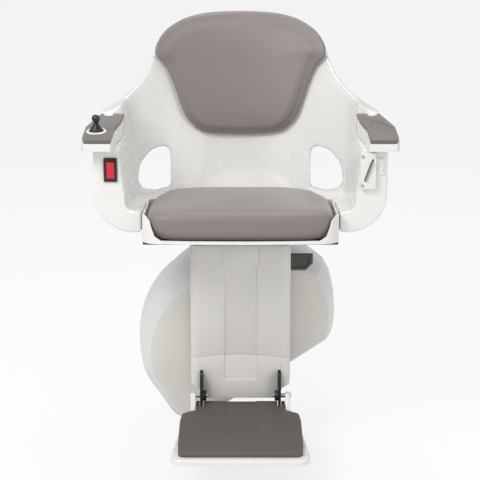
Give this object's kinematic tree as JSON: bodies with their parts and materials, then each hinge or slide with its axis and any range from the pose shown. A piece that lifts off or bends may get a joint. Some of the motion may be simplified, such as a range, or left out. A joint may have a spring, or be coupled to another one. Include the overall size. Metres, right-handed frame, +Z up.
{
  "type": "stairlift chair",
  "caption": "Stairlift chair with a moulded swivel seat, folding arms, footrest and seat, on a levelling leg and a carriage for a sloping rail tube.",
  "frame": {"origin": "where the levelling axis crosses the centreline of the rail tube", "axes": "+Z up, the sitter faces -Y, +X to the right of someone who looks at the chair from its front; the rail rises to the right at 34 degrees"},
  "size_m": [0.666, 0.718, 0.9465],
  "materials": {
    "shell_plastic": "smooth off-white moulding",
    "shell_back_plastic": "smooth off-white moulding",
    "upholstery": "warm grey vinyl upholstery",
    "arm_pad_grey": "soft grey pad",
    "footrest_rubber": "dark warm grey mat",
    "leg_plastic": "warm white moulding",
    "cover_plastic": "light grey moulding",
    "panel_plastic": "warm beige moulding",
    "guard_plastic": "dark grey moulding",
    "black_plastic": "black moulding",
    "black_steel": "black powder coat",
    "joystick_black": "black knob",
    "red_switch": "red rocker",
    "joystick_white": "white moulding",
    "bright_steel": "zinc plated steel",
    "gear_steel": "machined steel",
    "cast_metal": "cast metal",
    "motor_metal": "dark painted can",
    "bronze": "sintered bronze",
    "frame_paint": "dark grey powder coat",
    "roller_polymer": "hard polymer roller"
  },
  "bodies": {
    "carriage": {"carriage_chassis": "frame_paint", "carriage_front_cover": "cover_plastic", "carriage_front_panel": "panel_plastic", "carriage_rear_cover": "cover_plastic", "carriage_guard": "guard_plastic", "roller_axles": "bright_steel", "drive_gearbox": "cast_metal", "drive_motor": "motor_metal", "levelling_motor": "motor_metal", "levelling_spindle": "bright_steel", "levelling_nut": "bright_steel", "batteries": "black_plastic", "control_box": "black_plastic", "cover_screws": "bright_steel"},
    "roller_low_upper": {"roller_low_upper": "roller_polymer"},
    "roller_high_upper": {"roller_high_upper": "roller_polymer"},
    "roller_low_lower": {"roller_low_lower": "roller_polymer"},
    "roller_high_lower": {"roller_high_lower": "roller_polymer"},
    "drive_pinion": {"drive_pinion": "gear_steel"},
    "levelling_pinion": {"levelling_pinion": "gear_steel"},
    "column": {"levelling_gear": "gear_steel", "levelling_bush": "bronze", "levelling_hub": "cast_metal", "column_frame": "frame_paint", "leg_upper_cover": "leg_plastic", "leg_lower_cover": "leg_plastic", "leg_rear_cover": "leg_plastic", "hub_screws": "bright_steel", "swivel_base": "cast_metal", "footrest_brackets": "black_steel"},
    "footrest": {"footrest_pins": "bright_steel", "footrest_tray": "shell_plastic", "footrest_mat": "footrest_rubber", "safety_plate_screws": "bright_steel"},
    "safety_plate": {"footrest_safety_plate": "black_plastic"},
    "seat": {"swivel_head": "cast_metal", "seat_frame": "frame_paint", "seat_shell": "shell_plastic", "shell_back": "shell_back_plastic", "back_cushion": "upholstery", "arm_hinge_pins": "bright_steel", "seat_hinge_pins": "bright_steel", "switch_bezel": "black_plastic", "belt_housing": "joystick_white", "belt_screws": "bright_steel", "belt_bracket": "joystick_white"},
    "folding_seat": {"seat_tray": "shell_plastic", "seat_cushion": "upholstery"},
    "arm_left": {"arm_left": "shell_plastic", "arm_pad_left": "arm_pad_grey", "joystick_plate": "joystick_white", "joystick_boot": "black_plastic"},
    "arm_right": {"arm_right": "shell_plastic", "arm_pad_right": "arm_pad_grey"},
    "joystick": {"joystick_lever": "joystick_black"},
    "rocker": {"switch_rocker": "red_switch"},
    "belt_tongue": {"belt_tongue": "bright_steel"}
  },
  "joints": [
    {"name": "drive_turn", "type": "hinge", "parent": "carriage", "child": "drive_pinion", "pos_m": [0.04362, 0, -0.06467], "axis": [0, 1, 0], "continuous": true},
    {"name": "roller_low_upper_turn", "type": "hinge", "parent": "carriage", "child": "roller_low_upper", "pos_m": [-0.13415, 0, -0.0157], "axis": [0, 1, 0], "continuous": true},
    {"name": "roller_high_upper_turn", "type": "hinge", "parent": "carriage", "child": "roller_high_upper", "pos_m": [0.06481, 0, 0.1185], "axis": [0, 1, 0], "continuous": true},
    {"name": "roller_low_lower_turn", "type": "hinge", "parent": "carriage", "child": "roller_low_lower", "pos_m": [-0.06481, 0, -0.1185], "axis": [0, 1, 0], "continuous": true},
    {"name": "roller_high_lower_turn", "type": "hinge", "parent": "carriage", "child": "roller_high_lower", "pos_m": [0.13415, 0, 0.0157], "axis": [0, 1, 0], "continuous": true},
    {"name": "levelling", "type": "hinge", "parent": "carriage", "child": "column", "pos_m": [0, -0.213, 0], "axis": [0, 1, 0], "range_deg": [-34, 26]},
    {"name": "levelling_pinion_turn", "type": "hinge", "parent": "carriage", "child": "levelling_pinion", "pos_m": [-0.05872, -0.16, 0.08705], "axis": [0, 1, 0], "range_deg": [-110, 140]},
    {"name": "footrest_fold", "type": "hinge", "parent": "column", "child": "footrest", "pos_m": [0, -0.296, -0.14], "axis": [-1, 0, 0], "range_deg": [0, 88]},
    {"name": "safety_plate_lift", "type": "slide", "parent": "footrest", "child": "safety_plate", "axis": [0, 0, 1], "range_m": [0, 0.003], "stiffness_N_per_m": 600, "springref_m": -0.006},
    {"name": "seat_swivel", "type": "hinge", "parent": "column", "child": "seat", "pos_m": [0, -0.24, 0.213], "axis": [0, 0, 1], "range_deg": [-85, 85]},
    {"name": "seat_fold", "type": "hinge", "parent": "seat", "child": "folding_seat", "pos_m": [0, -0.067, 0.274], "axis": [-1, 0, 0], "range_deg": [0, 60]},
    {"name": "arm_left_fold", "type": "hinge", "parent": "seat", "child": "arm_left", "pos_m": [-0.294, -0.205, 0.473], "axis": [-1, 0, 0], "range_deg": [0, 84]},
    {"name": "arm_right_fold", "type": "hinge", "parent": "seat", "child": "arm_right", "pos_m": [0.294, -0.205, 0.473], "axis": [-1, 0, 0], "range_deg": [0, 84]},
    {"name": "joystick_tilt", "type": "hinge", "parent": "arm_left", "child": "joystick", "pos_m": [-0.305, -0.35304, 0.48487], "axis": [0, 1, 0], "range_deg": [-12, 12], "stiffness_Nm_per_rad": 0.4},
    {"name": "switch_rock", "type": "hinge", "parent": "seat", "child": "rocker", "pos_m": [-0.274, -0.386, 0.398], "axis": [1, 0, 0], "range_deg": [0, 9]},
    {"name": "belt_tongue_pull", "type": "slide", "parent": "seat", "child": "belt_tongue", "axis": [0, -1, 0], "range_m": [0, 0.012]}
  ],
  "couplings": [
    {"joint": "roller_low_upper_turn", "follows": "drive_turn", "ratio": -1.3636},
    {"joint": "roller_high_upper_turn", "follows": "drive_turn", "ratio": -1.3636},
    {"joint": "roller_low_lower_turn", "follows": "drive_turn", "ratio": 1.3636},
    {"joint": "roller_high_lower_turn", "follows": "drive_turn", "ratio": 1.3636},
    {"joint": "levelling_pinion_turn", "follows": "levelling", "ratio": -4}
  ]
}
